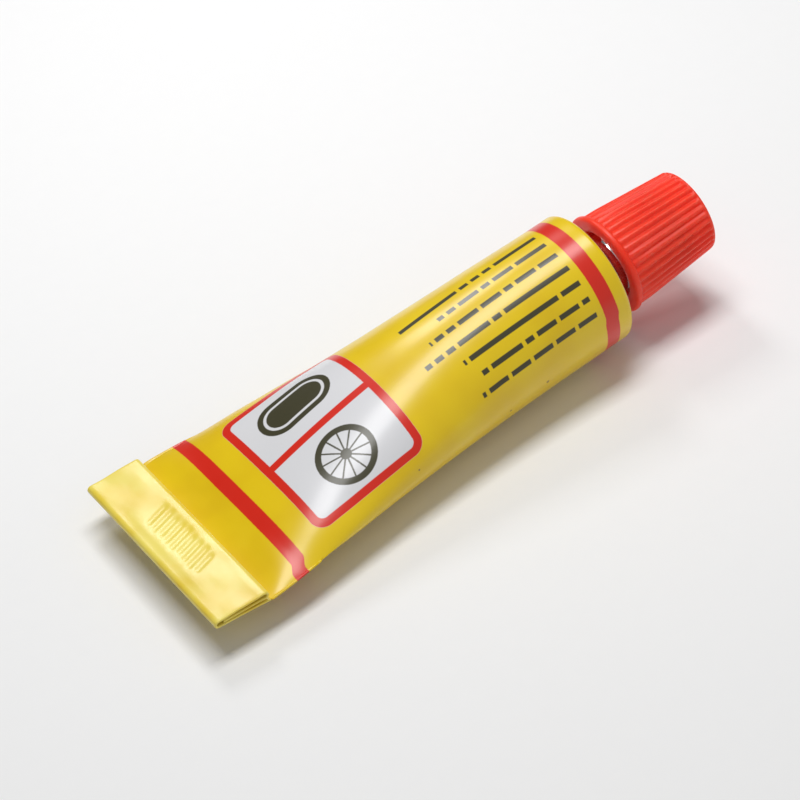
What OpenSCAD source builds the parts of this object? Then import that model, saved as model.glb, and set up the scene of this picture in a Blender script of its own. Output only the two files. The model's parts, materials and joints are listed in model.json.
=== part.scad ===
// Small collapsible aluminium tube of rubber cement with a ribbed screw cap.
// The tube lies on its belly: +X runs to the cap, +Z is up.
// Inside this file each piece is drawn in the tube's own frame, with the x axis
// along the tube, x = 0 at the front edge of the sleeve and +x towards the cap.
// lay_down() then sets it on the table.

/* [Sleeve] */
// Outer diameter of the round end of the sleeve
tube_d = 13.5; // [12:0.1:16]
// Length of the sleeve from its front edge to the tail fold
sleeve_l = 44.5; // [38:0.1:60]
// Thickness of the aluminium sheet
wall_t = 0.10; // [0.08:0.01:0.14]
// How full the belly is: a higher power keeps its height further towards the tail
belly_power = 2.5; // [2:0.05:3.2]
// Length over which the belly runs out flat into the fold
tail_run_out = 1.3; // [0.8:0.1:2.5]
// Radius of the rolled front edge
edge_r = 0.5; // [0.3:0.05:0.8]

/* [Tail fold] */
// Width of the flattened tail
fold_w = 22.2; // [20.5:0.1:25]
// Length of the folded tail
fold_l = 5.8; // [4:0.1:7]
// Angle between the folded flap and the sheet under it
fold_fan = 5; // [4:0.5:11]
// Angle at which the whole fold kicks up from the tube's axis
fold_lift = 9; // [0:0.5:12]
// Inner radius of the bend that faces the sleeve
fold_bend_r = 0.15; // [0.1:0.01:0.25]
// Air gap between the layers of the fold
layer_gap = 0.04; // [0.02:0.01:0.1]
// Distance along the fold from the sleeve's end to the bend that faces it
fold_set_back = 0.1; // [0.05:0.05:0.4]
// Thickness of the sealing compound between the two sheets
seal_t = 0.06; // [0.05:0.01:0.1]
// Clearance round the sealing compound
seal_gap = 0.01; // [0.005:0.005:0.015]

/* [Shoulder and nozzle] */
// Height of the shoulder above the sleeve's front edge
shoulder_h = 1.5; // [1.2:0.1:2]
// Thickness of the shoulder
shoulder_t = 0.45; // [0.3:0.05:0.6]
// Radius of the dome at the shoulder's rim
dome_r = 0.9; // [0.6:0.05:1.2]
// Length of the nozzle above the shoulder
nozzle_l = 6.5; // [5:0.1:8]
// Outer diameter of the thread on the nozzle
thread_d = 7.0; // [6:0.1:7.6]
// Depth of the thread
thread_depth = 0.45; // [0.3:0.05:0.6]
// Bore of the nozzle
nozzle_bore_d = 3.8; // [3:0.1:4.2]
// Chamfer on the tip of the nozzle
tip_chamfer = 0.3; // [0.2:0.05:0.5]
// Thickness of the membrane that seals the tip
membrane_t = 0.12; // [0.08:0.01:0.2]

/* [Cap] */
// Gap from the sleeve's front edge to the cap's mouth
mouth_gap = 1.85; // [1.6:0.05:2.2]
// Outer diameter of the ring round the mouth
ring_d = 10.4; // [10.1:0.1:11]
// Height of the ring
ring_h = 0.7; // [0.6:0.05:1.2]
// Diameter over the ribs beside the ring
ribs_base_d = 10.1; // [9.8:0.1:10.6]
// Diameter over the ribs at the closed end
ribs_end_d = 8.6; // [8.3:0.1:9.4]
// Number of ribs
rib_count = 36; // [30:1:40]
// Height of a rib
rib_h = 0.24; // [0.15:0.01:0.3]
// Radius of the edge of the closed end
end_edge_r = 0.4; // [0.3:0.05:0.7]
// Radius of the edges of the ring
ring_edge_r = 0.28; // [0.15:0.01:0.29]
// Clearance between the thread and the cap's bore
thread_gap = 0.1; // [0.06:0.01:0.15]
// Width of the mouth's countersink past the bore
countersink = 0.3; // [0.2:0.05:0.5]
// Thickness of the floor between the bore and the well
floor_t = 0.6; // [0.5:0.05:1]
// Depth of the well in the closed end
well_depth = 2.7; // [2.2:0.1:3.2]
// Clearance between the nozzle's tip and the well
well_gap = 0.15; // [0.1:0.05:0.25]
// Diameter of the piercing spike at its root
spike_d = 1.9; // [1.4:0.1:2.2]
// Diameter of the spike's blunt point
spike_tip_d = 0.3; // [0.2:0.05:0.5]
// Depth of the spike's point below the rim of the well
spike_set_back = 0.15; // [0.1:0.05:0.4]

/* [Cap liner] */
// Thickness of the sealing disc
liner_t = 0.8; // [0.6:0.05:1]
// Clearance between the disc and the cap's bore
liner_side_gap = 0.1; // [0.06:0.01:0.15]
// Clearance above and below the disc
liner_face_gap = 0.05; // [0.03:0.01:0.08]

/* [Contents] */
// Distance from the sleeve's front edge to the end of the cement
fill_l = 39; // [30:0.5:42]
// Clearance between the cement and the walls
fill_gap = 0.06; // [0.04:0.01:0.1]

/* [Rest] */
// Distance from the sleeve's front edge to the middle of the flat on the belly
rest_at = 17; // [14:0.5:20]
// Depth by which the belly is flattened where it lies
rest_sink = 0.25; // [0.15:0.05:0.35]

/* [Hidden] */
$fn = 96;

yellow_enamel = [0.93, 0.78, 0.05];
bare_aluminium = [0.78, 0.79, 0.80];
grey_foil = [0.66, 0.67, 0.69];
pale_latex = [0.90, 0.86, 0.72];
amber_cement = [0.82, 0.62, 0.30];
white_wad = [0.94, 0.94, 0.92];
red_plastic = [0.84, 0.12, 0.08];

// Counts of points and rings in the lofted skins
sleeve_sides = 48;
sleeve_rings = 22;
cement_sides = 40;
cement_rings = 16;
points_per_rib = 6;
bend_steps = 8;
edge_steps = 3;
search_steps = 30;
ring_crowding = 1.5;

// Sleeve
tube_r = tube_d / 2;
pair_t = 2 * wall_t + seal_t;
tail_half_h = pair_t / 2;
edge_sweep = 60;
edge_depth = edge_r * sin(edge_sweep);
rim_r = tube_r - edge_r * (1 - cos(edge_sweep));

// Tail fold, in a plane where s runs from the sleeve to the tail, before it is lifted
tail_bend_r = pair_t + layer_gap;
flap_bend_r = fold_bend_r + pair_t / 2;
tail_bend = [fold_l - pair_t / 2 - tail_bend_r, tail_bend_r];
flap_bend_s = fold_set_back + flap_bend_r + pair_t / 2;
fold_run = tail_bend[0] - flap_bend_s;
flap_bend = [flap_bend_s,
             tail_bend_r + (fold_run * sin(fold_fan) - (flap_bend_r - tail_bend_r)) / cos(fold_fan)];
tuck_drop = atan((flap_bend[1] - flap_bend_r - tail_bend_r) / fold_run);
tuck_share = 0.9;
pocket_overrun = 0.3;
tail_end = lifted(tail_bend);

// Shoulder and nozzle
nozzle_r = thread_d / 2 - thread_depth;
nozzle_bore_r = nozzle_bore_d / 2;
nozzle_tip = shoulder_h + nozzle_l;
membrane_top = nozzle_tip + membrane_t;
dome_side = [rim_r - dome_r * cos(edge_sweep), -dome_r * sin(edge_sweep)];
shoulder_angle = shoulder_slope();
dome_steps = 10;

// Cap
bore_r = thread_d / 2 + thread_gap;
liner_bottom = membrane_top + liner_face_gap;
ceiling = liner_bottom + liner_t + liner_face_gap;
well_floor = ceiling + floor_t;
cap_end = well_floor + well_depth;
well_r = nozzle_r + well_gap;
ring_top = mouth_gap + ring_h;
cap_sides = rib_count * points_per_rib;

// Rest
rest_share = rest_at / sleeve_l;
slope_step = 0.01;
belly_slope = (half_height(rest_share + slope_step) - half_height(rest_share - slope_step))
              / (2 * slope_step * sleeve_l);
rest_tilt = atan(-belly_slope);
rest_z = -half_height(rest_share) + rest_sink / cos(rest_tilt);
table_z = -rest_at * sin(rest_tilt) + rest_z * cos(rest_tilt);
tail_reach = -(sleeve_l + tail_end[0]) * cos(rest_tilt) - tail_end[1] * sin(rest_tilt)
             - tail_bend_r - pair_t / 2;
cap_reach = (cap_end - end_edge_r) * cos(rest_tilt)
            + (ribs_end_d / 2 - end_edge_r) * sin(rest_tilt) + end_edge_r;

// The belly: half its height, its girth and half its width at a share u of the
// sleeve's length from the front edge. The girth runs from the round end's to
// twice the width of the flattened tail.
function run_out(u) = let (t = 1 - u, e = tail_run_out / sleeve_l) t / (t + e) * (1 + e);
function half_height(u) =
    tail_half_h + (tube_r - tail_half_h) * (1 - pow(max(u, 0), belly_power)) * run_out(u);
function girth(u) = PI * tube_d * (1 - u) + 2 * fold_w * u;
function ellipse_girth(a, b) =
    let (q = pow((a - b) / (a + b), 2)) PI * (a + b) * (1 + 3 * q / (10 + sqrt(4 - 3 * q)));
function half_width(goal, h, low, high, steps) =
    let (middle = (low + high) / 2)
    steps == 0 ? middle
    : ellipse_girth(middle, h) > goal ? half_width(goal, h, low, middle, steps - 1)
    : half_width(goal, h, middle, high, steps - 1);
function belly_width(u) = half_width(girth(u), half_height(u), 0, fold_w, search_steps);

// Height of the table under the tube, in the tube's own frame
function table_level(x) = rest_z + (x + rest_at) * belly_slope;

// One ring of the sleeve or of what fills it, set in from the outer face and cut
// off flat at the table
function belly_ring(x, inset, sides) =
    let (u = -x / sleeve_l, a = belly_width(u) - inset, b = half_height(u) - inset)
    [for (k = [0:sides - 1])
        let (turn = 360 * (k + 0.5) / sides)
        [x, a * cos(turn), max(b * sin(turn), table_level(x) + inset / cos(rest_tilt))]];
function round_ring(x, r, sides) =
    [for (k = [0:sides - 1])
        let (turn = 360 * (k + 0.5) / sides) [x, r * cos(turn), r * sin(turn)]];

// Places of the rings along the belly, closer together towards the tail
function ring_places(from, to, count) =
    [for (i = [0:count]) from + (to - from) * (1 - pow(1 - i / count, ring_crowding))];

// Points of an arc about a centre that turns left from one heading to another
function bend(centre, r, from, to) =
    [for (i = [0:bend_steps])
        let (heading = from + (to - from) * i / bend_steps)
        centre + r * [sin(heading), -cos(heading)]];

// A point of the fold's plane, turned about the sleeve's end by the fold's lift
function lifted(p) =
    [p[0] * cos(fold_lift) - p[1] * sin(fold_lift), p[0] * sin(fold_lift) + p[1] * cos(fold_lift)];

// One side of the folded sheet, at a distance to the left of its middle line. It starts
// square to the sleeve and may run past both of the sheet's ends.
function fold_side(left, overrun) =
    let (tuck = 360 - tuck_drop,
         tuck_start = flap_bend + (flap_bend_r - left) * [sin(tuck), -cos(tuck)],
         layers = concat(bend(tail_bend, tail_bend_r - left, 0, 180 - fold_fan),
                         bend(flap_bend, flap_bend_r - left, 180 - fold_fan, tuck),
                         [tuck_start + (fold_run * tuck_share + overrun) * [cos(tuck), sin(tuck)]]))
    concat([[-overrun, left / cos(fold_lift) - overrun * tan(fold_lift)]],
           [for (p = layers) lifted(p)]);
function reversed(list) = [for (i = [len(list) - 1:-1:0]) list[i]];

// Angle of the shoulder's cone, from the rim's dome to the foot of the nozzle
function shoulder_slope() =
    let (run = dome_side[0] - nozzle_r, rise = shoulder_h - dome_side[1])
    atan(rise / run) - asin(dome_r / norm([run, rise]));

// A closed skin through rings of points; a looped skin joins its last ring to its first
module skin(rings, looped) {
    sides = len(rings[0]);
    count = len(rings);
    walls = [for (i = [0:count - (looped ? 1 : 2)], k = [0:sides - 1])
        let (a = i * sides + k,
             b = i * sides + (k + 1) % sides,
             c = (i + 1) % count * sides + (k + 1) % sides,
             d = (i + 1) % count * sides + k)
        each [[a, b, c], [a, c, d]]];
    ends = looped ? [] : [[for (k = [sides - 1:-1:0]) k],
                          [for (k = [0:sides - 1]) (count - 1) * sides + k]];
    polyhedron([for (ring = rings) each ring], concat(walls, ends));
}

// Sets a piece from the tube's own frame on the table
module lay_down() {
    translate([-(tail_reach + cap_reach) / 2, 0, -table_z]) rotate([0, -rest_tilt, 0]) children();
}

// A turned piece, from an outline of [radius, x] points
module turned(outline) {
    rotate([0, 90, 0]) rotate_extrude() polygon(outline);
}

// The folded sheet's side view, given its thickness, run across the tail
module folded_strip(thickness, width, overrun) {
    outline = concat(fold_side(-thickness / 2, overrun), reversed(fold_side(thickness / 2, overrun)));
    rotate([90, 0, 0]) linear_extrude(width, center = true)
        polygon([for (p = outline) [-sleeve_l - p[0], p[1]]]);
}

module tube_sleeve() {
    rolled_edge = [for (i = [edge_steps:-1:0])
        let (turn = edge_sweep * i / edge_steps)
        [-edge_depth + edge_r * sin(turn), edge_r * (1 - cos(turn))]];
    body = [for (x = ring_places(-edge_depth, -sleeve_l, sleeve_rings)) [x, 0]];
    profile = concat(rolled_edge, [for (i = [1:sleeve_rings]) body[i]]);
    outside = [for (p = profile) belly_ring(p[0], p[1], sleeve_sides)];
    inside = [for (p = profile) belly_ring(p[0], p[1] + wall_t, sleeve_sides)];
    color(yellow_enamel) lay_down() skin(concat(outside, reversed(inside)), true);
}

module tube_shoulder() {
    dome = [for (i = [0:dome_steps])
        let (turn = edge_sweep + (90 - shoulder_angle - edge_sweep) * i / dome_steps)
        dome_side + dome_r * [cos(turn), sin(turn)]];
    outside = concat(dome, [[nozzle_r, shoulder_h],
                            [nozzle_r, nozzle_tip - tip_chamfer],
                            [nozzle_r - tip_chamfer, nozzle_tip],
                            [nozzle_bore_r, nozzle_tip]]);
    inside = [[nozzle_bore_r, shoulder_h - shoulder_t], [rim_r - shoulder_t, 0]];
    color(bare_aluminium) lay_down() turned(concat(outside, inside));
}

module nozzle_membrane() {
    color(grey_foil) lay_down() translate([nozzle_tip, 0, 0]) rotate([0, 90, 0])
        cylinder(h = membrane_t, r = nozzle_r - tip_chamfer);
}

module tail_fold() {
    color(yellow_enamel) lay_down() difference() {
        folded_strip(pair_t, fold_w, 0);
        folded_strip(seal_t, fold_w - 2 * wall_t, pocket_overrun);
    }
}

module end_seal() {
    color(pale_latex) lay_down()
        folded_strip(seal_t - 2 * seal_gap, fold_w - 2 * (wall_t + seal_gap), 0);
}

module cement() {
    set_in = wall_t + fill_gap;
    throat_r = nozzle_bore_r - fill_gap;
    front_r = rim_r - shoulder_t - fill_gap;
    throat = [[nozzle_tip - fill_gap, throat_r],
              [shoulder_h - shoulder_t - fill_gap, throat_r],
              [-fill_gap, front_r]];
    color(amber_cement) lay_down() skin(concat(
        [for (p = throat) round_ring(p[0], p[1], cement_sides)],
        [for (x = ring_places(-edge_depth, -fill_l, cement_rings)) belly_ring(x, set_in, cement_sides)]
    ), false);
}

module cap_liner() {
    color(white_wad) lay_down() translate([liner_bottom, 0, 0]) rotate([0, 90, 0])
        cylinder(h = liner_t, r = bore_r - liner_side_gap);
}

// Radius over the ribs at a place along the cap
function ribs_r(x) =
    (ribs_base_d + (ribs_end_d - ribs_base_d) * (x - ring_top) / (cap_end - ring_top)) / 2;

// One ring of the cap's skin: round, or with ribs of the given height
function cap_ring(x, crest_r, ribs) =
    [for (k = [0:cap_sides - 1])
        let (turn = 360 * k / cap_sides, r = crest_r - rib_h + ribs * abs(cos(turn * rib_count / 2)))
        [x, r * cos(turn), r * sin(turn)]];

module cap_skin() {
    quarter = [for (i = [0:edge_steps]) 90 * i / edge_steps];
    round_edge = ring_d / 2 - ring_edge_r + rib_h;
    ribs_from = ring_top + rib_h;
    ribs_to = cap_end - end_edge_r;
    mouth_edge = [for (turn = quarter)
        cap_ring(mouth_gap + ring_edge_r * (1 - sin(turn)), round_edge + ring_edge_r * cos(turn), 0)];
    ring_edge = [for (turn = quarter)
        cap_ring(ring_top - ring_edge_r * (1 - sin(turn)), round_edge + ring_edge_r * cos(turn), 0)];
    ribs = [cap_ring(ring_top, ribs_r(ring_top), 0),
            cap_ring(ribs_from, ribs_r(ribs_from), rib_h)];
    end_edge = [for (turn = quarter)
        cap_ring(ribs_to + end_edge_r * sin(turn),
                 ribs_r(ribs_to) - end_edge_r * (1 - cos(turn)), rib_h * cos(turn))];
    skin(reversed(concat(reversed(mouth_edge), ring_edge, ribs, end_edge)), false);
}

module cap_hollow() {
    turned([[0, mouth_gap - countersink], [bore_r + 2 * countersink, mouth_gap - countersink],
            [bore_r, mouth_gap + countersink], [bore_r, ceiling], [0, ceiling]]);
}

module screw_cap() {
    color(red_plastic) lay_down() {
        difference() {
            cap_skin();
            cap_hollow();
            translate([well_floor, 0, 0]) rotate([0, 90, 0]) cylinder(h = 2 * well_depth, r = well_r);
        }
        translate([well_floor, 0, 0]) rotate([0, 90, 0])
            cylinder(h = well_depth - spike_set_back, r1 = spike_d / 2, r2 = spike_tip_d / 2);
    }
}

tube_sleeve();
tube_shoulder();
nozzle_membrane();
tail_fold();
end_seal();
cement();
cap_liner();
screw_cap();
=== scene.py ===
"""Looks of a small collapsible aluminium tube of rubber cement with a ribbed red screw cap.

Every piece is modelled in the tube's own frame, in millimetres: x runs along the tube, with
x = 0 at the front edge of the sleeve and +x towards the cap, y runs across the tail fold and z
is up. TubeFrame then places it in the row frame, in metres.
"""

import json
import logging
import math
from dataclasses import dataclass
from enum import Enum
from typing import Sequence, Union

import bmesh
import bpy
from mathutils import Matrix, Vector, noise

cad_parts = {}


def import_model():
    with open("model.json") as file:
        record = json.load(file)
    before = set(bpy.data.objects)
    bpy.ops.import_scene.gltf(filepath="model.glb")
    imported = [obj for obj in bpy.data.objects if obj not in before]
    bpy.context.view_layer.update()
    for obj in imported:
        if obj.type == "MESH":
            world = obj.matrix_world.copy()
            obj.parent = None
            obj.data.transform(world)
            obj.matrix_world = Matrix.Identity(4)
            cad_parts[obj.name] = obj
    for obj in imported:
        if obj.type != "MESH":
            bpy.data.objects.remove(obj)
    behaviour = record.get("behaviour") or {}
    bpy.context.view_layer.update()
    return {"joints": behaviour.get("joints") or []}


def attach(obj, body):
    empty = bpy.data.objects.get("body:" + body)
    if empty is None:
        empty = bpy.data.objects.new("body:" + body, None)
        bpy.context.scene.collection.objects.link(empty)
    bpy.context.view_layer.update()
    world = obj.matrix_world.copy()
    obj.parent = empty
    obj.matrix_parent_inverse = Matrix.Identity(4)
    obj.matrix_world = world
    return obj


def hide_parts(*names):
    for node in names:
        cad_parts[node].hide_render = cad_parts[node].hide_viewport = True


MM = 0.001
FULL_TURN = 2 * math.pi
# Middle of a noise, a cell or a map that runs from 0 to 1
MIDDLE = 0.5
LOG = logging.getLogger("rubber_cement_tube")

Triple = tuple[float, float, float]
Colour = Triple
Pair = tuple[float, float]
Mesh = bmesh.types.BMesh
Material = bpy.types.Material
Socket = bpy.types.NodeSocket
Number = Union[Socket, float]
Tint = Union[Socket, Colour]
Input = Union[Socket, float, Sequence[float]]


class Body(Enum):
    """Bodies of the frame that pieces ride on."""

    TUBE = "tube"
    LINER = "liner"
    CAP = "cap"


class Slot(Enum):
    """Material slots of the record."""

    ENAMEL = "yellow_enamel"
    ALUMINIUM = "bare_aluminium"
    LATEX = "latex"
    CEMENT = "cement"
    WAD = "wad"
    PLASTIC = "red_plastic"


@dataclass(frozen=True)
class TubeFrame:
    """Place of the tube's own frame in the row frame."""

    origin: Vector
    along: Vector

    @classmethod
    def from_joint(cls, joint: dict) -> "TubeFrame":
        """Reads the frame from the cap's hinge, whose axis is the tube's axis."""
        return cls(Vector(joint["pos_m"]), Vector(joint["axis"]).normalized())

    def axes(self) -> Matrix:
        """Turn from the tube's frame to the row frame.

        Returns:
            The turn as a 3 by 3 matrix.
        """
        across = Vector((0.0, 1.0, 0.0))
        up = self.along.cross(across)
        return Matrix((self.along, across, up)).transposed()

    def placing(self) -> Matrix:
        """Transform from millimetres in the tube's frame to metres in the row frame."""
        return Matrix.Translation(self.origin) @ (self.axes() * MM).to_4x4()

    def pose(self, place: Vector, axes: Sequence[Vector]) -> Matrix:
        """Transform in the row frame of a camera or lamp with a given place and axes in the tube's."""
        facing = self.axes() @ Matrix(axes).transposed()
        return Matrix.Translation(self.placing() @ place) @ facing.to_4x4()


@dataclass(frozen=True)
class Grain:
    """Grain of a noise: its size in millimetres, and the number and strength of its finer layers."""

    size: float
    detail: float = 3.0
    roughness: float = 0.5


class Shading:
    """Adds and links the nodes of a material or of the world."""

    def __init__(self, owner: Union[Material, bpy.types.World], surface: str) -> None:
        """Starts from the owner's own surface node.

        Args:
            owner: The material or the world.
            surface: Name of its surface node.
        """
        owner.use_nodes = True
        self.owner = owner
        self.tree = owner.node_tree
        self.surface = self.tree.nodes[surface]

    @classmethod
    def finish(cls, name: str) -> "Shading":
        """Nodes of a new material with a Principled surface."""
        return cls(bpy.data.materials.new(name), "Principled BSDF")

    def feed(self, socket: Socket, value: Input) -> None:
        """Links a socket to another, or sets its value.

        Args:
            socket: Input of a node.
            value: Output of another node, or a plain value.
        """
        if isinstance(value, Socket):
            self.tree.links.new(value, socket)
        else:
            socket.default_value = value

    def node(self, kind: str, inputs: dict[Union[str, int], Input], **settings: object) -> bpy.types.Node:
        """Adds a node.

        Args:
            kind: Blender's name of the node's type, without the ShaderNode that it starts with.
            inputs: What feeds the inputs, by their names or numbers.
            settings: Properties of the node.

        Returns:
            The node.
        """
        made = self.tree.nodes.new("ShaderNode" + kind)
        for name, value in settings.items():
            setattr(made, name, value)
        for name, value in inputs.items():
            self.feed(made.inputs[name], value)
        return made

    def dress(self, inputs: dict[str, Input]) -> None:
        """Sets or links inputs of the surface."""
        for name, value in inputs.items():
            self.feed(self.surface.inputs[name], value)

    def math(self, operation: str, *values: Number) -> Socket:
        """Result of a Math node."""
        return self.node("Math", dict(enumerate(values)), operation=operation).outputs[0]

    def chain(self, operation: str, first: Number, *others: Number) -> Number:
        """Result of Math nodes in a row, each of which takes in one more value.

        Args:
            operation: Name of the operation.
            first: First value.
            others: Further values.

        Returns:
            The last node's result.
        """
        for other in others:
            first = self.math(operation, first, other)
        return first

    def plus(self, *values: Number) -> Number:
        """Sum of several values."""
        return self.chain("ADD", *values)

    def times(self, *values: Number) -> Number:
        """Product of several values."""
        return self.chain("MULTIPLY", *values)

    def either(self, *values: Number) -> Number:
        """Largest of several values."""
        return self.chain("MAXIMUM", *values)

    def minus(self, first: Number, second: Number) -> Socket:
        """Difference of two values."""
        return self.math("SUBTRACT", first, second)

    def length(self, *parts: Socket) -> Socket:
        """Length of a line from its parts along the axes."""
        return self.math("SQRT", self.plus(*[self.times(part, part) for part in parts]))

    def spread(self, value: Socket, low: float, high: float) -> Socket:
        """A share from 0 to 1 turned into a value from low to high."""
        return self.plus(low, self.times(value, high - low))

    def step(self, value: Number, low: float, high: float, start: float = 0.0, end: float = 1.0) -> Socket:
        """Smooth step of a value.

        Args:
            value: What is stepped.
            low: Where the step begins.
            high: Where the step ends, above low or below it.
            start: Result at low.
            end: Result at high.

        Returns:
            The step.
        """
        (low, start), (high, end) = sorted([(low, start), (high, end)])
        made = self.node("MapRange", {"Value": value, "From Min": low, "From Max": high, "To Min": start,
                                      "To Max": end}, interpolation_type="SMOOTHSTEP")
        return made.outputs["Result"]

    def mix(self, share: Number, first: Tint, second: Tint) -> Socket:
        """Colour mixed from two.

        Args:
            share: How much of the second colour shows.
            first: First colour.
            second: Second colour.

        Returns:
            The mixed colour.
        """
        made = self.node("Mix", {0: share}, data_type="RGBA")
        colours = [socket for socket in made.inputs if socket.type == "RGBA"]
        for socket, value in zip(colours, (first, second)):
            self.feed(socket, value if isinstance(value, Socket) else (*value, 1.0))
        return next(socket for socket in made.outputs if socket.type == "RGBA")

    def place(self, turn: Matrix | None = None) -> Socket:
        """Object coordinates in millimetres.

        Args:
            turn: Turn from the tube's frame to the row frame, to read along the tube's axes.

        Returns:
            The coordinates.
        """
        inputs = {"Vector": self.node("TexCoord", {}).outputs["Object"], "Scale": [1.0 / MM] * 3}
        if turn is not None:
            inputs["Rotation"] = turn.transposed().to_euler()
        return self.node("Mapping", inputs).outputs["Vector"]

    def noise(self, place: Socket, grain: Grain) -> Socket:
        """Noise of a given grain.

        Args:
            place: Coordinates in millimetres.
            grain: Grain of the noise.

        Returns:
            The noise, from 0 to 1.
        """
        made = self.node("TexNoise", {"Vector": place, "Scale": 1.0 / grain.size, "Detail": grain.detail,
                                      "Roughness": grain.roughness})
        return made.outputs["Fac"]

    def bump(self, height: Socket, depth: float, strength: float) -> None:
        """Lays a bump under the surface, with its height as a share of a depth in millimetres."""
        made = self.node("Bump", {"Height": height, "Distance": depth * MM, "Strength": strength})
        self.dress({"Normal": made.outputs["Normal"]})


@dataclass(frozen=True)
class PrintLayout:
    """Plain print of the sleeve, in millimetres from the front edge and round from the top."""

    chart_name: str = "Print"
    chart_span: float = 50.0
    front_band: Pair = (1.45, 2.98)
    tail_band: Pair = (39.7, 41.1)
    front_jog: float = 0.2
    tail_jog: float = 0.5
    seam: Pair = (-9.4, -10.5)
    jog_fade: Pair = (-20.5, -11.0)
    panel_middle: Pair = (31.0, -0.4)
    panel_half: Pair = (6.4, 8.6)
    panel_corner: float = 1.4
    frame_width: float = 0.8
    wheel_middle: Pair = (31.0, -4.7)
    wheel_r: float = 2.95
    tyre_width: float = 0.62
    spoke_width: float = 0.16
    spoke_count: int = 12
    hub_r: float = 0.55
    patch_middle: Pair = (31.0, 3.9)
    patch_half: Pair = (3.9, 2.3)
    patch_insets: tuple[float, ...] = (0.0, 0.6, 0.9)
    row_start: float = 3.7
    row_ends: Pair = (15.5, 22.6)
    row_end_seed: float = 7.0
    row_top: float = 2.9
    row_pitch: float = 1.75
    row_count: int = 7
    bar_height: float = 0.52
    bar_cell: float = 1.35
    bar_gap: float = 0.42
    gap_chance: float = 0.45
    chips: tuple[Triple, ...] = (
        (10.5, -12.2, 0.17), (15.1, -12.4, 0.12), (26.3, -10.4, 0.10), (6.2, 7.9, 0.13), (33.5, 11.2, 0.12),
    )
    edge: float = 0.05

    def chart(self, along: float, around: float) -> Pair:
        """Place on the UV map of a spot in millimetres."""
        return along / self.chart_span, MIDDLE + around / self.chart_span


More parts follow.
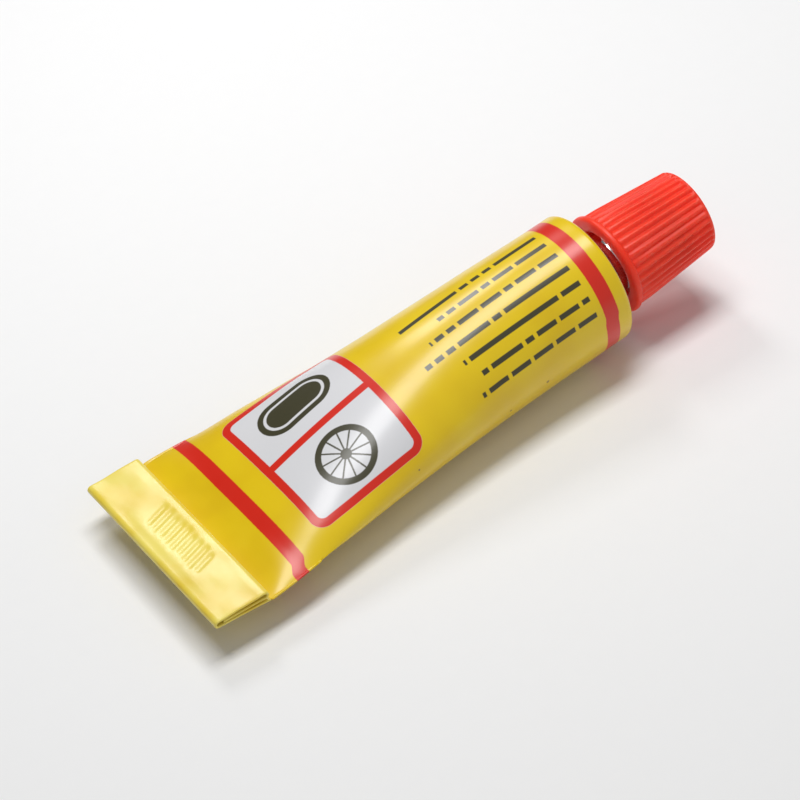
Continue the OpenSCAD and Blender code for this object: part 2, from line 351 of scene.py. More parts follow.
@dataclass(frozen=True)
class PrintShapes:
    """Masks of the sleeve's print, worked out by nodes from a spot on the sleeve."""

    shading: Shading
    layout: PrintLayout
    along: Socket
    around: Socket

    def within(self, distance: Number, reach: Number) -> Socket:
        """Ink where a distance is shorter than a reach."""
        edge = self.layout.edge
        return self.shading.step(self.shading.minus(distance, reach), edge, -edge)

    def offset(self, value: Socket, middle: float) -> Socket:
        """Distance of a coordinate from a middle, without its sign."""
        return self.shading.math("ABSOLUTE", self.shading.minus(value, middle))

    def off_cell(self, value: Socket) -> Socket:
        """Distance from the middle of a cell, where each cell is 1 long."""
        return self.offset(self.shading.math("FRACT", value), MIDDLE)

    def spot(self, middle: Sequence[float]) -> list[Socket]:
        """Coordinates of the spot from a middle."""
        return [self.shading.minus(value, centre)
                for value, centre in zip((self.along, self.around), middle)]

    def box(self, middle: Pair, half: Pair, corner: float) -> Socket:
        """A filled rectangle with round corners.

        Args:
            middle: Its middle.
            half: Half its sizes.
            corner: Radius of its corners.

        Returns:
            The rectangle's ink.
        """
        over = [self.shading.either(self.shading.minus(self.offset(value, centre), reach - corner), 0.0)
                for value, centre, reach in zip((self.along, self.around), middle, half)]
        return self.within(self.shading.length(*over), corner)

    def panel(self) -> Socket:
        """White field of the panel."""
        return self.box(self.layout.panel_middle, self.layout.panel_half, self.layout.panel_corner)

    def panel_frame(self) -> Socket:
        """Outline of the panel and the bar across it.

        Returns:
            The ink of both.
        """
        layout = self.layout
        inner_half = tuple(size - layout.frame_width for size in layout.panel_half)
        inner = self.box(layout.panel_middle, inner_half, layout.panel_corner / 2)
        bar = self.box(layout.panel_middle, (layout.panel_half[0], layout.frame_width / 2), layout.edge)
        return self.shading.either(self.shading.minus(self.panel(), inner), bar)

    def band(self, limits: Pair, jog: float) -> Socket:
        """One band round the sleeve.

        Args:
            limits: Its edges along the sleeve.
            jog: Shift of the band past the print's seam, which fades out under the belly.

        Returns:
            The band's ink.
        """
        steps = [self.shading.step(self.around, *ends) for ends in (self.layout.seam, self.layout.jog_fade)]
        place = self.shading.minus(self.along, self.shading.times(*steps, jog))
        low, high = limits
        return self.within(self.offset(place, (low + high) / 2), (high - low) / 2)

    def red_ink(self) -> Socket:
        """All that is printed red.

        Returns:
            The ink of the bands and the panel's frame.
        """
        layout = self.layout
        return self.shading.either(self.band(layout.front_band, layout.front_jog),
                                   self.band(layout.tail_band, layout.tail_jog), self.panel_frame())

    def wheel(self) -> Socket:
        """A plain spoked wheel.

        Returns:
            The wheel's ink.
        """
        shading, layout = self.shading, self.layout
        side, height = self.spot(layout.wheel_middle)
        away = shading.length(side, height)
        disc = self.within(away, layout.wheel_r)
        tyre = shading.minus(disc, self.within(away, layout.wheel_r - layout.tyre_width))
        swing = FULL_TURN / layout.spoke_count
        heading = shading.math("FLOORED_MODULO", shading.math("ARCTAN2", height, side), swing)
        sine = shading.math("SINE", shading.minus(heading, swing / 2))
        beside = shading.math("ABSOLUTE", shading.times(away, sine))
        spokes = shading.times(self.within(beside, layout.spoke_width / 2), disc)
        return shading.either(tyre, self.within(away, layout.hub_r), spokes)

    def patch(self) -> Socket:
        """A plain rubber patch with a lighter line inside its edge.

        Returns:
            The patch's ink.
        """
        layout = self.layout
        halves = [tuple(size - inset for size in layout.patch_half) for inset in layout.patch_insets]
        outline, line, inside = [self.box(layout.patch_middle, half, half[1]) for half in halves]
        return self.shading.minus(outline, self.shading.minus(line, inside))

    def rows(self) -> Socket:
        """Rows of plain bars, broken by gaps.

        Returns:
            The bars' ink.
        """
        shading, layout = self.shading, self.layout
        level = shading.math("DIVIDE", shading.minus(layout.row_top, self.around), layout.row_pitch)
        row = shading.math("FLOOR", level)
        below_top = shading.math("GREATER_THAN", level, 0.0)
        above_end = shading.math("LESS_THAN", level, float(layout.row_count))
        bar = self.within(shading.times(self.off_cell(level), layout.row_pitch), layout.bar_height / 2)
        cell = shading.math("DIVIDE", self.along, layout.bar_cell)
        beside_gap = self.within(layout.bar_gap / 2, shading.times(self.off_cell(cell), layout.bar_cell))
        chance = self.chance(shading.math("FLOOR", cell), row)
        joined = shading.math("GREATER_THAN", chance, layout.gap_chance)
        end = shading.spread(self.chance(row, layout.row_end_seed), *layout.row_ends)
        return shading.times(below_top, above_end, bar, shading.either(beside_gap, joined),
                             self.within(layout.row_start, self.along), self.within(self.along, end))

    def chance(self, first: Number, second: Number) -> Socket:
        """A steady random share for a pair of whole numbers."""
        pair = self.shading.node("CombineXYZ", {0: first, 1: second}).outputs[0]
        return self.shading.node("TexWhiteNoise", {"Vector": pair}, noise_dimensions="2D").outputs["Value"]

    def chips(self) -> Socket:
        """Small chips in the enamel."""
        return self.shading.either(*[self.within(self.shading.length(*self.spot(middle)), radius)
                                     for *middle, radius in self.layout.chips])

    def dark_ink(self) -> Socket:
        """All that is printed dark."""
        return self.shading.either(self.wheel(), self.patch(), self.rows())


@dataclass(frozen=True)
class Enamel:
    """Gloss yellow enamel on aluminium sheet, bare or with the sleeve's print."""

    yellow: Colour = (0.81, 0.57, 0.003)
    deep_yellow: Colour = (0.76, 0.51, 0.002)
    red: Colour = (0.68, 0.018, 0.005)
    white: Colour = (0.71, 0.71, 0.73)
    ink: Colour = (0.05, 0.046, 0.02)
    bare: Colour = (0.86, 0.82, 0.66)
    chip: Colour = (0.30, 0.17, 0.03)
    cloud: Grain = Grain(6.0, 2.0)
    cloud_step: Pair = (0.35, 0.7)
    # Painted sheen: pale haze laid in patches over the tail's enamel. It stands in for light reflected by
    # the flap, with a little whitening of the crimped sheet too.
    painted_sheen: Colour = (0.90, 0.88, 0.27)
    painted_sheen_share: Pair = (0.18, 0.44)
    painted_sheen_cloud: Grain = Grain(4.0)
    painted_sheen_step: Pair = (0.32, 0.66)
    worn_edge: Pair = (0.07, 0.02)
    ragged: Grain = Grain(0.25)
    ragged_width: float = 0.06
    smear: Grain = Grain(1.8, 5.0, 0.6)
    roughness: Pair = (0.27, 0.37)
    coat: float = 0.40
    coat_roughness: float = 0.20
    specular: float = 0.32
    peel: Grain = Grain(0.5, 2.0)
    peel_depth: float = 0.002
    peel_strength: float = 0.6

    def material(self, layout: PrintLayout | None) -> Material:
        """Makes the material.

        Args:
            layout: The print, or None for plain enamel with the painted sheen of the crimped tail.

        Returns:
            The material.
        """
        shading = Shading.finish("yellow_enamel" if layout is None else "printed_enamel")
        place = shading.place()
        cloud = shading.noise(place, self.cloud)
        colour = shading.mix(shading.step(cloud, *self.cloud_step), self.yellow, self.deep_yellow)
        if layout is None:
            # Painted sheen: pale patches over the tail's enamel stand in for light reflected by the flap;
            # the crimped sheet whitens a little too.
            pressed = shading.step(shading.noise(place, self.painted_sheen_cloud), *self.painted_sheen_step)
            colour = shading.mix(shading.spread(pressed, *self.painted_sheen_share), colour, self.painted_sheen)
        else:
            colour = self.printed(shading, layout, colour)
        smear = shading.noise(place, self.smear)
        shading.dress({
            "Base Color": colour, "Roughness": shading.spread(smear, *self.roughness),
            "Coat Weight": self.coat, "Coat Roughness": self.coat_roughness,
            "Specular IOR Level": self.specular,
        })
        shading.bump(shading.noise(place, self.peel), self.peel_depth, self.peel_strength)
        return shading.owner

    def printed(self, shading: Shading, layout: PrintLayout, colour: Socket) -> Socket:
        """Lays the print over the enamel.

        Args:
            shading: The material's nodes.
            layout: The print.
            colour: Colour of the enamel below.

        Returns:
            The printed colour.
        """
        chart = shading.node("UVMap", {}, uv_map=layout.chart_name)
        apart = shading.node("SeparateXYZ", {0: chart.outputs["UV"]})
        sway = shading.minus(shading.noise(shading.place(), self.ragged), MIDDLE)
        along = shading.plus(shading.times(apart.outputs["X"], layout.chart_span),
                             shading.times(sway, self.ragged_width))
        around = shading.times(shading.minus(apart.outputs["Y"], MIDDLE), layout.chart_span)
        shapes = PrintShapes(shading, layout, along, around)
        inks = ((shapes.panel(), self.white), (shapes.red_ink(), self.red), (shapes.dark_ink(), self.ink),
                (shapes.chips(), self.chip), (shading.step(along, *self.worn_edge), self.bare))
        for mask, ink in inks:
            colour = shading.mix(mask, colour, ink)
        return colour


@dataclass(frozen=True)
class TurnedAluminium:
    """Bright bare aluminium with fine turning marks round the tube's axis."""

    bright: Colour = (0.88, 0.88, 0.87)
    dull: Colour = (0.70, 0.70, 0.70)
    stain: Grain = Grain(1.6, 4.0, 0.6)
    stain_step: Pair = (0.4, 0.75)
    roughness: Pair = (0.14, 0.30)
    marks: Grain = Grain(0.07, 2.0)
    mark_slant: float = 0.4
    mark_depth: float = 0.004
    mark_strength: float = 0.5

    def material(self, frame: TubeFrame) -> Material:
        """Makes the material, with marks round the frame's axis.

        Args:
            frame: The tube's frame.

        Returns:
            The material.
        """
        shading = Shading.finish("bare_aluminium")
        place = shading.place(frame.axes())
        shift = frame.axes().transposed() @ (frame.origin / MM)
        moved = shading.node("VectorMath", {0: place, 1: shift}, operation="SUBTRACT")
        apart = shading.node("SeparateXYZ", {0: moved.outputs["Vector"]}).outputs
        radius = shading.length(apart["Y"], apart["Z"])
        rings = shading.node("CombineXYZ", {0: shading.plus(apart["X"], radius),
                                            1: shading.times(radius, self.mark_slant)})
        stain = shading.noise(place, self.stain)
        shading.dress({
            "Base Color": shading.mix(shading.step(stain, *self.stain_step), self.bright, self.dull),
            "Metallic": 1.0, "Roughness": shading.spread(stain, *self.roughness),
        })
        shading.bump(shading.noise(rings.outputs[0], self.marks), self.mark_depth, self.mark_strength)
        return shading.owner


@dataclass(frozen=True)
class Foil:
    """Thin dull foil of the nozzle's membrane."""

    colour: Colour = (0.74, 0.75, 0.77)
    shade: float = 0.8
    cloud: Grain = Grain(0.9, 4.0)
    roughness: Pair = (0.25, 0.45)
    crease: Grain = Grain(0.6)
    crease_depth: float = 0.02
    crease_strength: float = 0.6

    def material(self) -> Material:
        """Makes the material.

        Returns:
            The material.
        """
        shading = Shading.finish("membrane_foil")
        place = shading.place()
        cloud = shading.noise(place, self.cloud)
        darker = tuple(self.shade * part for part in self.colour)
        shading.dress({"Base Color": shading.mix(cloud, self.colour, darker), "Metallic": 1.0,
                       "Roughness": shading.spread(cloud, *self.roughness)})
        shading.bump(shading.noise(place, self.crease), self.crease_depth, self.crease_strength)
        return shading.owner


@dataclass(frozen=True)
class MouldedPlastic:
    """Satin red plastic, paler where fingers have worn the crests.

    Glow_reach, how far each colour spreads under the surface, is in metres.
    """

    red: Colour = (0.99, 0.046, 0.014)
    deep_red: Colour = (0.95, 0.036, 0.011)
    worn: Colour = (0.95, 0.12, 0.065)
    worn_share: float = 0.6
    cloud: Grain = Grain(3.0)
    cloud_step: Pair = (0.35, 0.7)
    scuff: Grain = Grain(0.35, 6.0, 0.7)
    scuff_step: Pair = (0.35, 0.75)
    crest_name: str = "Crest"
    crest_step: Pair = (0.55, 1.0)
    roughness: Pair = (0.30, 0.46)
    specular: float = 0.36
    glow: float = 0.6
    glow_reach: Triple = (0.0022, 0.0003, 0.0002)
    glow_scale: float = 1.0
    grain: Grain = Grain(0.18)
    grain_depth: float = 0.006
    grain_strength: float = 0.5

    def material(self) -> Material:
        """Makes the material.

        Returns:
            The material.
        """
        shading = Shading.finish("red_plastic")
        place = shading.place()
        cloud, scuff = (shading.noise(place, grain) for grain in (self.cloud, self.scuff))
        colour = shading.mix(shading.step(cloud, *self.cloud_step), self.red, self.deep_red)
        crest = shading.node("Attribute", {}, attribute_name=self.crest_name).outputs["Fac"]
        wear = shading.times(shading.step(crest, *self.crest_step), shading.step(scuff, *self.scuff_step),
                             self.worn_share)
        shading.dress({
            "Base Color": shading.mix(wear, colour, self.worn),
            "Roughness": shading.spread(scuff, *self.roughness), "Specular IOR Level": self.specular,
            "Subsurface Weight": self.glow, "Subsurface Radius": self.glow_reach,
            "Subsurface Scale": self.glow_scale,
        })
        shading.bump(shading.noise(place, self.grain), self.grain_depth, self.grain_strength)
        return shading.owner


@dataclass(frozen=True)
class SoftFill:
    """A soft filling or disc: cement, sealing compound or foam.

    Glow_reach, how far each colour spreads under the surface, is in metres.
    """

    name: str
    colour: Colour
    dark: Colour
    grain: Grain
    grain_depth: float
    roughness: Pair
    glow: float
    glow_reach: Triple = (0.001, 0.0008, 0.0005)
    grain_step: Pair = (0.3, 0.75)
    grain_strength: float = 0.7

    def material(self) -> Material:
        """Makes the material.

        Returns:
            The material.
        """
        shading = Shading.finish(self.name)
        grain = shading.noise(shading.place(), self.grain)
        shading.dress({
            "Base Color": shading.mix(shading.step(grain, *self.grain_step), self.colour, self.dark),
            "Roughness": shading.spread(grain, *self.roughness), "Subsurface Weight": self.glow,
            "Subsurface Radius": self.glow_reach,
        })
        shading.bump(grain, self.grain_depth, self.grain_strength)
        return shading.owner


AMBER_CEMENT = SoftFill("amber_cement", (0.55, 0.30, 0.07), (0.45, 0.22, 0.04), Grain(2.5, 4.0, 0.6),
                        grain_depth=0.02, roughness=(0.15, 0.3), glow=0.3)
SEALING_LATEX = SoftFill("sealing_latex", (0.78, 0.70, 0.50), (0.70, 0.60, 0.40), Grain(0.8, 4.0, 0.6),
                         grain_depth=0.01, roughness=(0.45, 0.6), glow=0.2)
WHITE_FOAM = SoftFill("white_foam", (0.86, 0.86, 0.83), (0.74, 0.74, 0.71), Grain(0.16, 4.0, 0.6),
                      grain_depth=0.02, roughness=(0.55, 0.7), glow=0.15)


def clamp(value: float, low: float = 0.0, high: float = 1.0) -> float:
    """The value, or the nearer limit where it lies outside them."""
    return min(max(value, low), high)


def ease(low: float, high: float, value: float) -> float:
    """Smooth step of a value from 0 at low to 1 at high."""
    share = clamp((value - low) / (high - low))
    return share * share * (3 - 2 * share)


def turns_round(sides: int) -> list[float]:
    """Angles round a section, from the belly round by the far side and back to the belly."""
    return [FULL_TURN * step / sides - math.pi / 2 for step in range(sides + 1)]


def ellipse_girth(wide: float, high: float) -> float:
    """Distance round an ellipse with the given half sizes, by a close formula."""
    bend = ((wide - high) / (wide + high)) ** 2
    return math.pi * (wide + high) * (1 + 3 * bend / (10 + math.sqrt(4 - 3 * bend)))


@dataclass(frozen=True)
class Crease:
    """A soft crease or dent pressed into the sleeve between two spots, in print millimetres."""

    start: Pair
    end: Pair
    width: float
    depth: float

    def press(self, along: float, around: float) -> float:
        """How far the sheet is pressed in at a spot.

        Args:
            along: Distance from the front edge.
            around: Distance round from the top.

        Returns:
            The depth in millimetres.
        """
        line = Vector(self.end) - Vector(self.start)
        spot = Vector((along, around)) - Vector(self.start)
        away = (spot - clamp(spot.dot(line) / line.length_squared) * line).length
        return self.depth * math.exp(-((away / self.width) ** 2))


@dataclass(frozen=True)
class Belly:
    """Shape of the sleeve, from its round front edge to its flat tail."""

    diameter: float = 13.5
    length: float = 44.5
    sheet: float = 0.10
    seal: float = 0.06
    power: float = 2.5
    run_out: float = 1.3
    tail_width: float = 22.2
    edge_r: float = 0.5
    edge_sweep: float = math.radians(60)
    rest_at: float = 17.0
    rest_sink: float = 0.25
    slope_step: float = 0.01
    search_steps: int = 30
    ripple: float = 0.035
    ripple_size: float = 7.0
    stiff_front: float = 3.0
    stiff_tail: float = 2.0
    stiff_seam: float = 3.0
    facet_start: float = 33.0
    facet_full: float = 40.4
    facet_power: float = 2.0
    corner_power: float = 10.0
    side_room: float = 2.0
    creases: tuple[Crease, ...] = (
        Crease((15.0, -6.5), (15.4, -13.5), 0.55, 0.045),
        Crease((27.0, -9.3), (33.0, -9.0), 1.9, 0.10),
        Crease((9.0, -11.5), (11.5, -11.8), 1.3, 0.06),
        Crease((36.0, 3.0), (37.5, 5.0), 2.2, 0.08),
        Crease((22.0, 6.5), (26.0, 7.5), 2.0, 0.07),
        Crease((43.2, -5.0), (41.6, -4.0), 1.0, 0.05),
        Crease((43.3, 4.0), (41.8, 3.0), 1.1, 0.06),
    )

    @property
    def radius(self) -> float:
        """Radius of the round front."""
        return self.diameter / 2

    @property
    def tail_half_height(self) -> float:
        """Half the thickness of the flattened tail."""
        return self.sheet + self.seal / 2

    @property
    def edge_depth(self) -> float:
        """Length of the rolled front edge along the tube."""
        return self.edge_r * math.sin(self.edge_sweep)

    @property
    def rim_r(self) -> float:
        """Radius of the rim where the shoulder starts."""
        return self.radius - self.edge_r * (1 - math.cos(self.edge_sweep))

    def half_height(self, share: float) -> float:
        """Half the sleeve's height.

        Args:
            share: Share of the sleeve's length from the front.

        Returns:
            Half the height in millimetres.
        """
        left = 1 - share
        lag = self.run_out / self.length
        fade = left / (left + lag) * (1 + lag)
        full = self.radius - self.tail_half_height
        return self.tail_half_height + full * (1 - max(share, 0.0) ** self.power) * fade

    def half_width(self, share: float) -> float:
        """Half the sleeve's width, found from its girth and height.

        Args:
            share: Share of the sleeve's length from the front.

        Returns:
            Half the width in millimetres.
        """
        height = self.half_height(share)
        girth = math.pi * self.diameter * (1 - share) + 2 * self.tail_width * share
        low, high = 0.0, self.tail_width
        for _ in range(self.search_steps):
            middle = (low + high) / 2
            low, high = (low, middle) if ellipse_girth(middle, height) > girth else (middle, high)
        return (low + high) / 2

    def facet(self, along: float) -> float:
        """How far the section has turned from an ellipse to flat facets, from 0 to 1."""
        return ease(self.facet_start, self.facet_full, along)

    def rise(self, along: float, turn: float) -> float:
        """Height of the section at a turn round it, as a share of half its height.

        Args:
            along: Distance from the front edge.
            turn: Angle round the section from its far side, positive on the upper half.

        Returns:
            The share, negative on the lower half.
        """
        facet = self.facet(along)
        corner = ease(self.facet_full, self.length, along)
        power = 2 + self.facet_power * facet + self.corner_power * corner
        share = max(1 - abs(math.cos(turn)) ** power, 0.0) ** (1 / (2 - facet))
        return math.copysign(share, math.sin(turn))

    def belly_slope(self) -> float:
        """Slope of the belly where the tube lies on it.

        Returns:
            The change of half the height for each millimetre towards the tail.
        """
        share = self.rest_at / self.length
        rise = self.half_height(share + self.slope_step) - self.half_height(share - self.slope_step)
        return rise / (2 * self.slope_step * self.length)

    def table_level(self, x: float, inset: float) -> float:
        """Height of the table under the tube, or of a spot above it.

        Args:
            x: Place along the tube.
            inset: Distance above the table, square to it.

        Returns:
            The height.
        """
        slope = self.belly_slope()
        lowest = -self.half_height(self.rest_at / self.length)
        return lowest + (self.rest_sink + inset) / math.cos(math.atan(slope)) + (x + self.rest_at) * slope

    def pressed(self, along: float, around: float) -> float:
        """How far ripples and creases press the sheet in at a spot.

        Args:
            along: Distance from the front edge.
            around: Distance round from the top.

        Returns:
            The depth in millimetres.
        """
        held = clamp(min(along / self.stiff_front, (self.length - along) / self.stiff_tail))
        wave = noise.noise(Vector((along, around, 0.0)) / self.ripple_size)
        creased = sum(crease.press(along, around) for crease in self.creases)
        return held * (self.ripple * (1 + wave) + creased)

    def ring(self, x: float, inset: float, sides: int) -> tuple[list[Vector], list[float]]:
        """Points of one ring and their distances round from the top.

        Args:
            x: Place of the ring along the tube.
            inset: Distance in from the outer face.
            sides: Number of steps round. The first point is repeated at the end.

        Returns:
            The points, from the belly round by the far side, and the distances, positive there.
        """
        share = -x / self.length
        wide = self.half_width(share) - inset * (1 + self.side_room * self.facet(-x))
        high = self.half_height(share) - inset
        table = self.table_level(x, inset)
        turns = turns_round(sides)
        points = [Vector((x, wide * math.cos(turn), high * self.rise(-x, turn))) for turn in turns]
        walked = [0.0]
        for first, second in zip(points, points[1:]):
            walked.append(walked[-1] + (second - first).length)
        around = [walked[-1] / 2 - length for length in walked]
        for point, turn, place in zip(points, turns, around):
            out = Vector((0.0, math.cos(turn) / wide, math.sin(turn) / high)).normalized()
            held = clamp((walked[-1] / 2 - abs(place)) / self.stiff_seam)
            point -= out * self.pressed(-x, place) * held
            point.z = max(point.z, table)
        return points, around


def add_object(name: str, data: bpy.types.ID) -> bpy.types.Object:
    """An object of the scene with the given data.

    Args:
        name: Name of the object.
        data: Its mesh, camera or light.

    Returns:
        The object.
    """
    made = bpy.data.objects.new(name, data)
    bpy.context.scene.collection.objects.link(made)
    return made


def mesh_data(name: str, mesh: Mesh, material: Material) -> bpy.types.Mesh:
    """Data of an object with a finish.

    Args:
        name: Name of the data.
        mesh: The mesh, which is used up.
        material: Its finish.

    Returns:
        The data.
    """
    data = bpy.data.meshes.new(name)
    mesh.to_mesh(data)
    mesh.free()
    data.materials.append(material)
    return data


def spin(mesh: Mesh, parts: list, angle: float, steps: int, advance: float = 0.0) -> None:
    """Spins parts of a mesh round the tube's axis.

    Args:
        mesh: The mesh.
        parts: Its vertices, edges and faces that are spun.
        angle: Angle of the whole spin.
        steps: Number of steps.
        advance: Way along the axis at each step. Without it the last step joins the first.
    """
    bmesh.ops.spin(mesh, geom=parts, cent=(0, 0, 0), axis=(1, 0, 0), dvec=(advance, 0, 0), angle=angle,
                   steps=steps, use_merge=advance == 0)


def move_out(vert: bmesh.types.BMVert, radius: float) -> None:
    """Moves a vertex straight out from the tube's axis or in to it.

    Args:
        vert: The vertex.
        radius: Its new distance from the axis.
    """
    scale = radius / math.hypot(vert.co.y, vert.co.z)
    vert.co.y *= scale
    vert.co.z *= scale


def arc(middle: Pair, radius: float, start: float, end: float, steps: int) -> list[Pair]:
    """Points of an arc in the plane of (x, radius).

    Args:
        middle: Centre of the arc.
        radius: Radius of the arc.
        start: Angle of the first point, in degrees from +x towards +radius.
        end: Angle of the last point.
        steps: Number of steps.

    Returns:
        The points.
    """
    turns = [math.radians(start + (end - start) * step / steps) for step in range(steps + 1)]
    return [(middle[0] + radius * math.cos(turn), middle[1] + radius * math.sin(turn)) for turn in turns]


@dataclass(frozen=True)
class Workshop:
    """Makes meshes and turns them into pieces of the object."""

    frame: TubeFrame
    grid_weld: float = 1e-5
    spin_weld: float = 1e-4
    sharp: float = math.radians(40)
    wall_side: float = -1.0

    def weld(self, mesh: Mesh, distance: float) -> None:
        """Joins the vertices that meet and turns the faces outwards."""
        bmesh.ops.remove_doubles(mesh, verts=mesh.verts, dist=distance)
        bmesh.ops.recalc_face_normals(mesh, faces=mesh.faces)

    def wrapped(self, rings: Sequence[Sequence[Vector]], chart_name: str = "",
                charts: Sequence[Sequence[Pair]] = ()) -> Mesh:
        """A grid moved onto rings of points and closed round.

        Args:
            rings: Rings of equal length, each with its first point repeated at its end.
            chart_name: Name of the UV map.
            charts: UV place of each point, or nothing for no map.

        Returns:
            The mesh, open at its first and last ring.
        """
        rows, columns = len(rings) - 1, len(rings[0]) - 1
        half = 0.5
        mesh = bmesh.new()
        bmesh.ops.create_grid(mesh, x_segments=columns, y_segments=rows, size=half)
        spots = {vert: (round((vert.co.x + half) * columns), round((vert.co.y + half) * rows))
                 for vert in mesh.verts}
        if charts:
            layer = mesh.loops.layers.uv.new(chart_name)
            for loop in (loop for face in mesh.faces for loop in face.loops):
                column, row = spots[loop.vert]
                loop[layer].uv = charts[row][column]
        for vert, (column, row) in spots.items():
            vert.co = rings[row][column]
        self.weld(mesh, self.grid_weld)
        return mesh

    def filled(self, rings: Sequence[Sequence[Vector]]) -> Mesh:
        """A grid on rings of points, closed round and at both ends.

        Args:
            rings: Rings of equal length, each with its first point repeated at its end.

        Returns:
            The closed mesh.
        """
        mesh = self.wrapped(rings)
        bmesh.ops.holes_fill(mesh, edges=[edge for edge in mesh.edges if edge.is_boundary], sides=0)
        bmesh.ops.recalc_face_normals(mesh, faces=mesh.faces)
        return mesh

    def turned(self, outline: Sequence[Pair], steps: int, closed: bool = False) -> Mesh:
        """An outline spun round the tube's axis.

        Args:
            outline: Points of (x, radius).
            steps: Number of steps round.
            closed: Whether the last point joins the first.

        Returns:
            The closed mesh.
        """
        mesh = bmesh.new()
        verts = [mesh.verts.new((x, 0.0, radius)) for x, radius in outline]
        followers = verts[1:] + verts[:1] if closed else verts[1:]
        edges = [mesh.edges.new(pair) for pair in zip(verts, followers)]
        spin(mesh, verts + edges, FULL_TURN, steps)
        self.weld(mesh, self.spin_weld)
        return mesh

    def piece(self, name: str, mesh: Mesh, material: Material, body: Body, slot: Slot,
              replaced: str | None = None, sharp: float | None = None, wall: float = 0.0) -> None:
        """Turns a mesh in tube millimetres into a piece in the row frame.

        Args:
            name: Name of the piece.
            mesh: The mesh, which is used up.
            material: Its finish.
            body: Body that it rides on.
            slot: Material slot of the record; not used.
            replaced: CAD node that it stands for, if any.
            sharp: Angle from which edges are sharp, where it isn't the usual one.
            wall: Thickness of a wall laid inside the mesh.
        """
        bmesh.ops.transform(mesh, matrix=self.frame.placing(), verts=mesh.verts)
        data = mesh_data(name, mesh, material)
        data.shade_smooth()
        data.set_sharp_from_angle(angle=self.sharp if sharp is None else sharp)
        made = add_object(name, data)
        if wall > 0:
            solid = made.modifiers.new("wall", "SOLIDIFY")
            solid.thickness = wall * MM
            solid.offset = self.wall_side
        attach(made, body.value)
        if replaced is not None:
            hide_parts(replaced)
        LOG.info("%s: %d faces on %s", name, len(data.polygons), body.value)


@dataclass(frozen=True)
class Sleeve:
    """The enamelled sleeve and the cement that fills it."""

    shop: Workshop
    belly: Belly
    layout: PrintLayout
    sides: int = 176
    rows: int = 190
    edge_rows: int = 6
    crowding: float = 1.35
    cement_sides: int = 64
    cement_rows: int = 48
    fill_length: float = 39.0
    fill_gap: float = 0.06

    def stations(self, end: float, rows: int) -> list[float]:
        """Places of rings along the belly, closer together towards the tail."""
        start = -self.belly.edge_depth
        return [start + (end - start) * (1 - (1 - row / rows) ** self.crowding) for row in range(rows + 1)]

    def build_sleeve(self, material: Material) -> None:
        """Makes the sleeve, with its rolled front edge and its print's map.

        Args:
            material: Its finish.
        """
        belly, layout = self.belly, self.layout
        turns = [belly.edge_sweep * (1 - row / self.edge_rows) for row in range(self.edge_rows)]
        profile = [(-belly.edge_depth + belly.edge_r * math.sin(turn), belly.edge_r * (1 - math.cos(turn)))
                   for turn in turns]
        profile += [(x, 0.0) for x in self.stations(-belly.length, self.rows)]
        rings, charts = [], []
        for x, inset in profile:
            points, around = belly.ring(x, inset, self.sides)
            rings.append(points)
            charts.append([layout.chart(-x, place) for place in around])
        mesh = self.shop.wrapped(rings, layout.chart_name, charts)
        self.shop.piece("sleeve", mesh, material, Body.TUBE, Slot.ENAMEL, "tube_sleeve", wall=belly.sheet)

    def build_cement(self, material: Material, throat: Sequence[Pair]) -> None:
        """Makes the cement, which follows the sleeve and reaches up the nozzle.

        Args:
            material: Its finish.
            throat: Outline of the cement from the nozzle's tip down.
        """
        turns = turns_round(self.cement_sides)
        rings = [[Vector((x, radius * math.cos(turn), radius * math.sin(turn))) for turn in turns]
                 for x, radius in throat]
        inset = self.belly.sheet + self.fill_gap
        rings += [self.belly.ring(x, inset, self.cement_sides)[0]
                  for x in self.stations(-self.fill_length, self.cement_rows)]
        self.shop.piece("cement_fill", self.shop.filled(rings), material, Body.TUBE, Slot.CEMENT, "cement")


@dataclass(frozen=True)
class FoldStep:
    """A step along the folded sheet: its spot as (distance past the sleeve, height) and its heading.

    Back is the distance back along the flap, or None off the flap.
    """

    spot: Vector
    heading: float
    back: float | None = None


def on_bend(middle: Vector, radius: float, heading: float) -> Vector:
    """Point of a bend to the left where it has a given heading."""
    return middle + radius * Vector((math.sin(heading), -math.cos(heading)))


